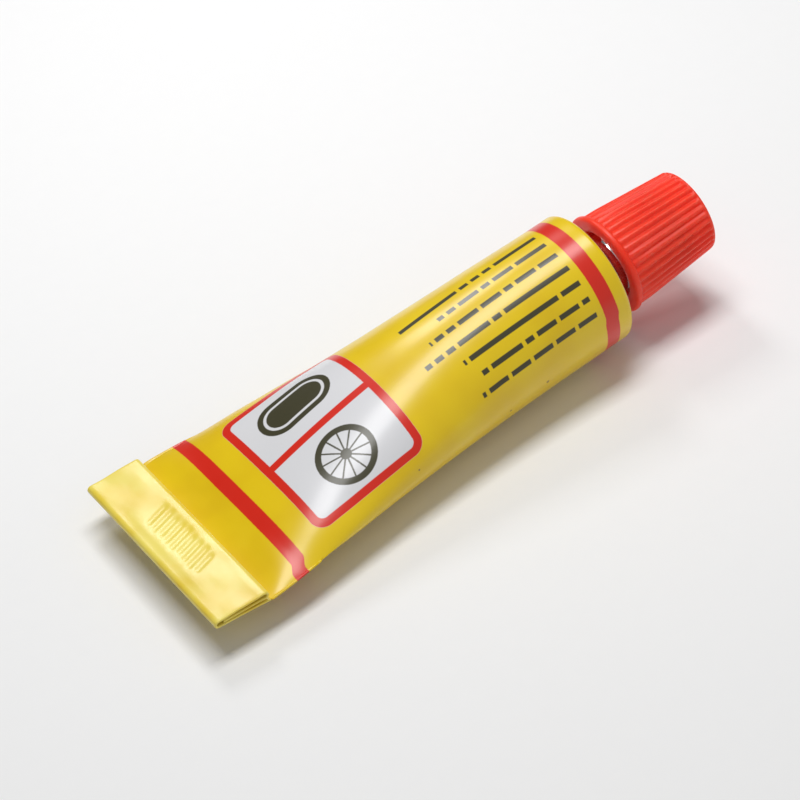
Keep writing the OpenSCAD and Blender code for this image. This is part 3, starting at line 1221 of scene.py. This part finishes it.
@dataclass(frozen=True)
class TailFold:
    """The flattened tail, folded over twice, and the sealing compound in it."""

    shop: Workshop
    belly: Belly
    length: float = 5.8
    fan: float = math.radians(5)
    lift: float = math.radians(9)
    inner_bend_r: float = 0.15
    layer_gap: float = 0.04
    set_back: float = 0.1
    tuck_share: float = 0.9
    seal_gap: float = 0.01
    run_steps: int = 34
    bend_steps: int = 10
    across_steps: int = 150
    side_steps: int = 6
    wave: float = 0.05
    wave_rate: Pair = (0.25, 0.12)
    wave_seed: float = 3.0
    wave_full: float = 1.0
    stroke_count: int = 9
    stroke_pitch: float = 1.0
    stroke_length: float = 2.2
    stroke_lean: float = 0.35
    stroke_width: float = 0.30
    stroke_depth: float = 0.055
    stroke_shares: tuple[float, ...] = (0.8, 1.0, 0.9)
    stroke_middle: Pair = (2.75, -0.4)
    wrinkle: float = 0.06
    wrinkle_size: Pair = (2.4, 3.6)
    wrinkle_seed: float = 9.0
    wrinkle_fade: float = 0.8
    flap_end: float = 0.9
    sharp: float = math.radians(60)

    @property
    def pair(self) -> float:
        """Thickness of the two sheets with the seal between them."""
        return 2 * self.belly.sheet + self.belly.seal

    def straight(self, start: Vector, end: Vector, heading: float, on_flap: bool = False) -> list[FoldStep]:
        """Steps of a straight run of the sheet, without its end."""
        spots = [start.lerp(end, step / self.run_steps) for step in range(self.run_steps)]
        return [FoldStep(spot, heading, (spot - start).length if on_flap else None) for spot in spots]

    def bend(self, middle: Vector, radius: float, start: float, end: float) -> list[FoldStep]:
        """Steps of a bend of the sheet from one heading to another, without its end."""
        headings = [start + (end - start) * step / self.bend_steps for step in range(self.bend_steps)]
        return [FoldStep(on_bend(middle, radius, heading), heading) for heading in headings]

    def path(self) -> list[FoldStep]:
        """Middle line of the folded sheet.

        Returns:
            Its steps, from the sleeve's end to the edge of the tucked sheet.
        """
        tail_r = self.pair + self.layer_gap
        flap_r = self.inner_bend_r + self.pair / 2
        tail = Vector((self.length - self.pair / 2 - tail_r, tail_r))
        flap_s = self.set_back + flap_r + self.pair / 2
        run = tail.x - flap_s
        rise = (run * math.sin(self.fan) - (flap_r - tail_r)) / math.cos(self.fan)
        flap = Vector((flap_s, tail_r + rise))
        back = math.pi - self.fan
        tuck = FULL_TURN - math.atan((flap.y - flap_r - tail_r) / run)
        tuck_start = on_bend(flap, flap_r, tuck)
        tuck_end = tuck_start + run * self.tuck_share * Vector((math.cos(tuck), math.sin(tuck)))
        steps = self.straight(Vector((0.0, 0.0)), Vector((tail.x, 0.0)), 0.0)
        steps += self.bend(tail, tail_r, 0.0, back)
        steps += self.straight(on_bend(tail, tail_r, back), on_bend(flap, flap_r, back), back, on_flap=True)
        steps += self.bend(flap, flap_r, back, tuck)
        steps += self.straight(tuck_start, tuck_end, tuck)
        return steps + [FoldStep(tuck_end, tuck)]

    def pressed(self, back: float | None, y: float) -> float:
        """How far strokes and wrinkles press the flap in.

        Args:
            back: Distance back along the flap, or None off it.
            y: Place across the tail.

        Returns:
            The depth in millimetres.
        """
        if back is None:
            return 0.0
        held = clamp(min(back, self.length - self.flap_end - back) / self.wrinkle_fade)
        spot = (back / self.wrinkle_size[0], y / self.wrinkle_size[1], self.wrinkle_seed)
        off = back - self.stroke_middle[0]
        depth = 0.0
        for index in range(self.stroke_count):
            middle = self.stroke_middle[1] + (index - (self.stroke_count - 1) / 2) * self.stroke_pitch
            beside = y - middle - off * self.stroke_lean
            half = self.stroke_length / 2 * self.stroke_shares[index % len(self.stroke_shares)]
            past = max(abs(off) - half, 0.0)
            depth += math.exp(-((beside / self.stroke_width) ** 2) - (past / self.stroke_width) ** 2)
        return self.stroke_depth * depth + self.wrinkle * noise.noise(Vector(spot)) * held

    def section(self, half_width: float, half_thick: float) -> list[Pair]:
        """Flattened section of the tail, in pairs of place across and offset to the left.

        Args:
            half_width: Half the tail's width.
            half_thick: Half its thickness.

        Returns:
            The pairs, with the first repeated at the end.
        """
        flat = half_width - half_thick
        across = [flat * (2 * step / self.across_steps - 1) for step in range(self.across_steps + 1)]
        ends = [math.pi * step / self.side_steps for step in range(1, self.side_steps)]
        upper = [(place, half_thick) for place in across]
        far = [(flat + half_thick * math.sin(turn), half_thick * math.cos(turn)) for turn in ends]
        half_round = upper + far
        return half_round + [(-place, -side) for place, side in half_round] + upper[:1]

    def rings(self, inset: float) -> list[list[Vector]]:
        """Rings of the flattened tube along the fold.

        Args:
            inset: Distance in from the outer face.

        Returns:
            The rings, from the sleeve's end on.
        """
        section = self.section(self.belly.tail_width / 2 - inset, self.pair / 2 - inset)
        turn = Matrix.Rotation(self.lift, 2)
        joint = [Vector((-self.belly.length, y, side / math.cos(self.lift))) for y, side in section]
        rings = [joint]
        for step in self.path()[1:]:
            left = Vector((-math.sin(step.heading), math.cos(step.heading)))
            grown = min(step.spot.x / self.wave_full, 1.0)
            ring = []
            for y, side in section:
                seed = Vector((step.spot.x * self.wave_rate[0], y * self.wave_rate[1], self.wave_seed))
                wave = Vector((0.0, self.wave * noise.noise(seed) * grown))
                place = turn @ (step.spot + left * (side + self.pressed(step.back, y)) + wave)
                ring.append(Vector((-self.belly.length - place.x, y, place.y)))
            rings.append(ring)
        return rings

    def build_fold(self, material: Material) -> None:
        """Makes the folded tail."""
        self.shop.piece("folded_tail", self.shop.wrapped(self.rings(0.0)), material, Body.TUBE, Slot.ENAMEL,
                        "tail_fold", sharp=self.sharp, wall=self.belly.sheet)

    def build_seal(self, material: Material) -> None:
        """Makes the sealing compound between the two sheets."""
        mesh = self.shop.filled(self.rings(self.belly.sheet + self.seal_gap))
        self.shop.piece("tail_seal", mesh, material, Body.TUBE, Slot.LATEX, "end_seal")


@dataclass(frozen=True)
class ScrewThread:
    """A thread ridge wound round the tube's axis, lower towards both ends."""

    root_r: float
    crest_r: float
    start: float
    end: float
    pitch: float = 1.25
    root_width: float = 0.78
    crest_width: float = 0.26
    steps_per_turn: int = 64
    run_in: float = 0.35
    end_height: float = 0.5
    least_height: float = 0.05

    def mesh(self) -> Mesh:
        """Spins the ridge's section along the screw line.

        Returns:
            The closed ridge.
        """
        turns = (self.end - self.start) / self.pitch
        steps = round(turns * self.steps_per_turn)
        mesh = bmesh.new()
        section = ((-self.root_width, self.root_r), (-self.crest_width, self.crest_r),
                   (self.crest_width, self.crest_r), (self.root_width, self.root_r))
        verts = [mesh.verts.new((self.start + width / 2, 0.0, radius)) for width, radius in section]
        face = mesh.faces.new(verts)
        spin(mesh, [face, *face.edges, *verts], turns * FULL_TURN, steps, (self.end - self.start) / steps)
        for vert in mesh.verts:
            ahead = min(vert.co.x - self.start, self.end - vert.co.x) / (self.run_in * self.pitch)
            height = math.hypot(vert.co.y, vert.co.z) - self.root_r
            move_out(vert, self.root_r + height * clamp(ahead + self.end_height, self.least_height))
        bmesh.ops.recalc_face_normals(mesh, faces=mesh.faces)
        return mesh


@dataclass(frozen=True)
class Nozzle:
    """The bare shoulder, the threaded nozzle and the membrane that seals it.

    Thread_gaps keep the thread off the shoulder and the tip. Dish_edges are the distances of the
    membrane's dish from the bore's wall, at its upper edge outside it and at its lower edge inside.
    """

    shop: Workshop
    belly: Belly
    shoulder_h: float = 1.5
    shoulder_t: float = 0.45
    dome_r: float = 0.9
    dome_steps: int = 10
    length: float = 6.5
    core_r: float = 3.05
    bore_r: float = 1.9
    tip_chamfer: float = 0.3
    foot_r: float = 0.35
    foot_share: float = 0.5
    foot_steps: int = 6
    thread_r: float = 3.5
    thread_clear: float = 0.05
    thread_sink: float = 0.02
    thread_gaps: Pair = (0.9, 0.75)
    membrane_t: float = 0.12
    membrane_dish: float = 0.05
    membrane_edge: float = 0.04
    dish_edges: Pair = (0.25, 0.1)
    steps: int = 128

    @property
    def tip(self) -> float:
        """Place of the nozzle's tip."""
        return self.shoulder_h + self.length

    @property
    def thread_start(self) -> float:
        """Place where the thread starts."""
        return self.shoulder_h + self.thread_gaps[0]

    def throat(self, gap: float) -> list[Pair]:
        """Outline of what fills the bore and the room under the shoulder.

        Args:
            gap: Its distance from the walls.

        Returns:
            Points of (x, radius), from the tip down.
        """
        fill_r = self.bore_r - gap
        foot = self.shoulder_h - self.shoulder_t - gap
        return [(self.tip - gap, fill_r), (foot, fill_r), (-gap, self.belly.rim_r - self.shoulder_t - gap)]

    def outline(self) -> list[Pair]:
        """Section of the shoulder and the nozzle.

        Returns:
            Points of (x, radius).
        """
        sweep = self.belly.edge_sweep
        rim = self.belly.rim_r
        dome = (-self.dome_r * math.sin(sweep), rim - self.dome_r * math.cos(sweep))
        run, rise = dome[1] - self.core_r, self.shoulder_h - dome[0]
        slope = math.degrees(math.atan(rise / run) - math.asin(self.dome_r / math.hypot(run, rise)))
        foot = (self.shoulder_h + self.foot_r * self.foot_share, self.core_r + self.foot_r)
        points = arc(dome, self.dome_r, 90 - math.degrees(sweep), slope, self.dome_steps)
        points += arc(foot, self.foot_r, 180 + slope * self.foot_share, 270, self.foot_steps)
        points += [(self.tip - self.tip_chamfer, self.core_r), (self.tip, self.core_r - self.tip_chamfer),
                   (self.tip, self.bore_r), (self.shoulder_h - self.shoulder_t, self.bore_r),
                   (0.0, rim - self.shoulder_t)]
        return points

    def build_shoulder(self, material: Material) -> None:
        """Makes the shoulder with the plain core of the nozzle."""
        mesh = self.shop.turned(self.outline(), self.steps, closed=True)
        self.shop.piece("shoulder", mesh, material, Body.TUBE, Slot.ALUMINIUM, "tube_shoulder")

    def build_thread(self, material: Material) -> None:
        """Makes the thread on the nozzle, with its root sunk into the core.

        Args:
            material: Its finish.
        """
        thread = ScrewThread(self.core_r - self.thread_sink, self.thread_r - self.thread_clear,
                             self.thread_start, self.tip - self.thread_gaps[1])
        self.shop.piece("nozzle_thread", thread.mesh(), material, Body.TUBE, Slot.ALUMINIUM)

    def build_membrane(self, material: Material) -> None:
        """Makes the membrane, a little dished between the nozzle's lips.

        Args:
            material: Its finish.
        """
        edge = self.core_r - self.tip_chamfer
        top = self.tip + self.membrane_t
        dish = top - self.membrane_dish
        outline = [(self.tip, 0.0), (self.tip, edge), (top - self.membrane_edge, edge),
                   (top, edge - self.membrane_edge), (top, self.bore_r + self.dish_edges[0]),
                   (dish, self.bore_r - self.dish_edges[1]), (dish, 0.0)]
        mesh = self.shop.turned(outline, self.steps)
        self.shop.piece("membrane", mesh, material, Body.TUBE, Slot.ALUMINIUM, "nozzle_membrane")


@dataclass(frozen=True)
class Cap:
    """The ribbed screw cap with its piercing spike, its thread and its sealing disc.

    Rib_margins keep the ribs off the well's edge and the ring. Thread_pitches are the pitches
    from the start of the nozzle's thread to the start of the cap's, and the length of the cap's.
    """

    shop: Workshop
    nozzle: Nozzle
    crest_name: str = MouldedPlastic.crest_name
    mouth: float = 1.85
    ring_r: float = 5.2
    ring_h: float = 0.7
    ring_edge_r: float = 0.28
    ring_edge_steps: int = 6
    fillet_r: float = 0.15
    fillet_angles: Pair = (260, 180)
    soft: float = 0.1
    soft_steps: int = 4
    ribs_base_r: float = 5.05
    ribs_end_r: float = 4.3
    rib_count: int = 36
    rib_h: float = 0.24
    rib_shape: float = 0.75
    rib_margins: Pair = (0.3, 0.02)
    ring_margin: float = 0.001
    steps_per_rib: int = 14
    groove_run_out: Pair = (0.30, 0.20)
    run_out_rows: int = 4
    straight_rows: int = 6
    end_edge_r: float = 0.4
    end_edge_steps: int = 10
    end: float = 12.32
    bore_r: float = 3.6
    countersink: float = 0.3
    floor_t: float = 0.6
    well_r: float = 3.2
    spike_r: float = 0.95
    spike_tip_r: float = 0.15
    spike_set_back: float = 0.15
    thread_depth: float = 0.4
    thread_sink: float = 0.05
    thread_pitches: Pair = (1.5, 2.5)
    sharp: float = math.radians(50)
    liner_t: float = 0.8
    liner_gap: float = 0.05
    liner_side_gap: float = 0.1
    liner_edge_steps: int = 5
    liner_steps: int = 96
    lip_print: tuple[Pair, ...] = ((0.0, 2.95), (0.05, 2.8), (0.05, 2.0), (0.0, 1.85))

    @property
    def ring_top(self) -> float:
        """Place of the ring's far face."""
        return self.mouth + self.ring_h

    @property
    def liner_bottom(self) -> float:
        """Place of the sealing disc's near face, over the membrane."""
        return self.nozzle.tip + self.nozzle.membrane_t + self.liner_gap

    @property
    def ceiling(self) -> float:
        """Place of the bore's end, over the sealing disc."""
        return self.liner_bottom + self.liner_t + self.liner_gap

    @property
    def edge_x(self) -> float:
        """Place where the round edge of the cap's end starts."""
        return self.end - self.end_edge_r

    def foot_r(self, x: float) -> float:
        """Radius at the foot of the ribs at a place along the cap."""
        share = (x - self.ring_top) / (self.end - self.ring_top)
        return self.ribs_base_r + (self.ribs_end_r - self.ribs_base_r) * share - self.rib_h

    def outline(self) -> list[Pair]:
        """Section of the cap at the foot of its ribs, from the spike's tip to the ceiling.

        Returns:
            Points of (x, radius).
        """
        spike_end, well_floor = self.end - self.spike_set_back, self.ceiling + self.floor_t
        fillet = self.fillet_r
        groove_x, ribs_x = self.edge_x - self.groove_run_out[0], self.ring_top + fillet
        places = [self.edge_x + (groove_x - self.edge_x) * (row + 1) / self.run_out_rows
                  for row in range(self.run_out_rows)]
        places += [groove_x + (ribs_x - groove_x) * (row + 1) / self.straight_rows
                   for row in range(self.straight_rows)]
        ring_edge, ring_middle_r = self.ring_edge_r, self.ring_r - self.ring_edge_r
        points = [(spike_end, 0.0), (spike_end, self.spike_tip_r), (well_floor, self.spike_r),
                  (well_floor, self.well_r)]
        points += arc((self.end - self.soft, self.well_r + self.soft), self.soft, 270, 360, self.soft_steps)
        points += arc((self.edge_x, self.foot_r(self.edge_x) - self.end_edge_r), self.end_edge_r, 0, 90,
                      self.end_edge_steps)
        points += [(x, self.foot_r(x)) for x in places]
        points += arc((ribs_x, self.foot_r(self.ring_top) + fillet), fillet, *self.fillet_angles,
                      self.soft_steps)
        points += arc((self.ring_top - ring_edge, ring_middle_r), ring_edge, 0, 90, self.ring_edge_steps)
        points += arc((self.mouth + ring_edge, ring_middle_r), ring_edge, 90, 180, self.ring_edge_steps)
        points += [(self.mouth, self.bore_r + self.countersink + self.soft),
                   (self.mouth + self.soft, self.bore_r + self.countersink - self.soft),
                   (self.mouth + self.countersink, self.bore_r), (self.ceiling, self.bore_r),
                   (self.ceiling, 0.0)]
        return points

    def rib_height(self, x: float) -> float:
        """Height of the ribs at a place along the cap, which fade out at both ends.

        Args:
            x: Place along the cap.

        Returns:
            The height in millimetres.
        """
        if x > self.edge_x:
            return self.rib_h * math.sqrt(max(1 - ((x - self.edge_x) / self.end_edge_r) ** 2, 0.0))
        return self.rib_h * clamp((x - self.ring_top) / self.rib_h)

    def build_cap(self, material: Material) -> None:
        """Makes the cap and raises its ribs, whose grooves run out at the end.

        Args:
            material: Its finish.
        """
        mesh = self.shop.turned(self.outline(), self.rib_count * self.steps_per_rib)
        crest = mesh.verts.layers.float.new(self.crest_name)
        inner, outer = self.well_r + self.rib_margins[0], self.ribs_base_r + self.rib_margins[1]
        groove_end = (self.edge_x - self.groove_run_out[0], self.edge_x + self.groove_run_out[1])
        for vert in mesh.verts:
            x, y, z = vert.co
            radius = math.hypot(y, z)
            if x < self.ring_top + self.ring_margin or not inner < radius < outer:
                continue
            wave = ((1 + math.cos(self.rib_count * math.atan2(z, y))) / 2) ** self.rib_shape
            wave += (1 - wave) * ease(*groove_end, x)
            move_out(vert, radius + self.rib_height(x) * wave)
            vert[crest] = wave
        self.shop.piece("ribbed_cap", mesh, material, Body.CAP, Slot.PLASTIC, "screw_cap", sharp=self.sharp)

    def build_thread(self, material: Material) -> None:
        """Makes the thread in the bore, half a pitch off the nozzle's.

        Args:
            material: Its finish.
        """
        lag, length = (ScrewThread.pitch * pitches for pitches in self.thread_pitches)
        start = self.nozzle.thread_start + lag
        thread = ScrewThread(self.bore_r + self.thread_sink, self.bore_r - self.thread_depth, start,
                             start + length)
        self.shop.piece("cap_thread", thread.mesh(), material, Body.CAP, Slot.PLASTIC)

    def build_liner(self, material: Material) -> None:
        """Makes the sealing disc, with soft edges and the print of the nozzle's lip.

        Args:
            material: Its finish.
        """
        bottom, top, soft = self.liner_bottom, self.liner_bottom + self.liner_t, self.soft
        edge_r = self.bore_r - self.liner_side_gap - soft
        outline = [(top, 0.0)]
        outline += arc((top - soft, edge_r), soft, 0, 90, self.liner_edge_steps)
        outline += arc((bottom + soft, edge_r), soft, 90, 180, self.liner_edge_steps)
        outline += [(bottom + depth, radius) for depth, radius in (*self.lip_print, (0.0, 0.0))]
        mesh = self.shop.turned(outline, self.liner_steps)
        self.shop.piece("sealing_disc", mesh, material, Body.LINER, Slot.WAD, "cap_liner")


@dataclass(frozen=True)
class AreaLight:
    """A soft box of the studio, placed by angles from straight above the tube.

    Sweep leans it towards the cap and lean towards the far side. Halves are half the angles that
    it fills, along the tube and across it. All are in degrees.
    """

    name: str
    sweep: float
    lean: float
    halves: Pair
    radiance: float
    distance: float = 350.0

    def direction(self) -> Vector:
        """Direction from the tube to the box, in the tube's frame."""
        sweep, lean = math.radians(self.sweep), math.radians(self.lean)
        return Vector((math.sin(sweep), math.cos(sweep) * math.sin(lean), math.cos(sweep) * math.cos(lean)))

    def size(self) -> Pair:
        """Sizes of the box in metres."""
        return tuple(2 * self.distance * math.tan(math.radians(half)) * MM for half in self.halves)


@dataclass(frozen=True)
class Studio:
    """Floor, lights and camera, with the camera's place fitted to the photograph.

    The floor's sizes and clip_start are in metres.
    """

    frame: TubeFrame
    focal_px: float = 2788.0
    image_px: float = 800.0
    azimuth: float = -0.4254
    elevation: float = 0.7935
    roll: float = -0.2739
    shift: Pair = (17.8466, 11.7516)
    distance: float = 264.295
    sensor: float = 36.0
    clip_start: float = 0.01
    floor_size: float = 1.5
    floor_drop: float = 0.00002
    floor_colour: Colour = (0.86, 0.86, 0.86)
    floor_shade: float = 0.985
    floor_grain: Grain = Grain(2.0)
    floor_roughness: float = 0.7
    sky_colour: Colour = (1.0, 1.0, 1.0)
    near_sky: float = 0.45
    far_sky: float = 0.14
    sky_split: Pair = (-0.55, 0.15)
    light_target: Triple = (-16.0, 0.0, 0.0)
    lights: tuple[AreaLight, ...] = (
        AreaLight("overhead_box", 11.0, 8.0, (20.0, 9.0), 10.0),
        AreaLight("far_box", 12.9, 43.3, (7.0, 7.0), 11.5, 172.0),
    )

    def build_camera(self) -> None:
        """Makes the camera."""
        back = Vector((math.sin(self.azimuth) * math.cos(self.elevation),
                       -math.cos(self.azimuth) * math.cos(self.elevation), math.sin(self.elevation)))
        right = Vector((math.cos(self.azimuth), math.sin(self.azimuth), 0.0))
        up = back.cross(right)
        turned_right = math.cos(self.roll) * right + math.sin(self.roll) * up
        turned_up = -math.sin(self.roll) * right + math.cos(self.roll) * up
        eye = self.distance * back - self.shift[0] * turned_right - self.shift[1] * turned_up
        data = bpy.data.cameras.new("camera")
        data.sensor_width = self.sensor
        data.lens = self.sensor * self.focal_px / self.image_px
        data.clip_start = self.clip_start
        camera = add_object("camera", data)
        camera.matrix_world = self.frame.pose(eye, (turned_right, turned_up, back))
        bpy.context.scene.camera = camera

    def build_lights(self) -> None:
        """Makes the soft boxes."""
        for light in self.lights:
            data = bpy.data.lights.new(light.name, "AREA")
            data.shape = "RECTANGLE"
            data.size, data.size_y = light.size()
            data.energy = light.radiance * math.pi * data.size * data.size_y
            facing = light.direction()
            along = (Vector((1.0, 0.0, 0.0)) - facing.x * facing).normalized()
            place = Vector(self.light_target) + light.distance * facing
            made = add_object(light.name, data)
            made.matrix_world = self.frame.pose(place, (along, facing.cross(along), facing))

    def build_room(self) -> None:
        """Makes the light of the room, bright on the near side and dim on the far side."""
        world = bpy.data.worlds.new("room")
        shading = Shading(world, "Background")
        facing = shading.node("TexCoord", {}).outputs["Generated"]
        across = shading.node("SeparateXYZ", {0: facing}).outputs["Y"]
        strength = shading.step(across, *self.sky_split, self.near_sky, self.far_sky)
        shading.dress({"Strength": strength, "Color": (*self.sky_colour, 1.0)})
        bpy.context.scene.world = world
        bpy.context.scene.view_settings.view_transform = "Standard"

    def build_floor(self) -> None:
        """Makes the pale floor."""
        mesh = bmesh.new()
        bmesh.ops.create_grid(mesh, x_segments=1, y_segments=1, size=self.floor_size / 2)
        bmesh.ops.translate(mesh, vec=(0.0, 0.0, -self.floor_drop), verts=mesh.verts)
        shading = Shading.finish("pale_floor")
        grain = shading.noise(shading.place(), self.floor_grain)
        darker = tuple(self.floor_shade * part for part in self.floor_colour)
        shading.dress({"Base Color": shading.mix(grain, self.floor_colour, darker),
                       "Roughness": self.floor_roughness})
        add_object("floor", mesh_data("floor", mesh, shading.owner))


def main() -> None:
    """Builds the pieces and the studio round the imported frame."""
    logging.basicConfig(level=logging.INFO, format="%(message)s")
    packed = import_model()
    hinge = next(joint for joint in packed["joints"] if joint["type"] == "hinge")
    frame = TubeFrame.from_joint(hinge)
    shop = Workshop(frame)
    belly, layout, enamel = Belly(), PrintLayout(), Enamel()
    aluminium = TurnedAluminium().material(frame)

    studio = Studio(frame)
    studio.build_camera()
    studio.build_lights()
    studio.build_room()
    studio.build_floor()

    sleeve, nozzle = Sleeve(shop, belly, layout), Nozzle(shop, belly)
    sleeve.build_sleeve(enamel.material(layout))
    sleeve.build_cement(AMBER_CEMENT.material(), nozzle.throat(sleeve.fill_gap))

    fold = TailFold(shop, belly)
    fold.build_fold(enamel.material(None))
    fold.build_seal(SEALING_LATEX.material())

    nozzle.build_shoulder(aluminium)
    nozzle.build_thread(aluminium)
    nozzle.build_membrane(Foil().material())

    cap, plastic = Cap(shop, nozzle), MouldedPlastic().material()
    cap.build_cap(plastic)
    cap.build_thread(plastic)
    cap.build_liner(WHITE_FOAM.material())


if __name__ == "__main__":
    main()
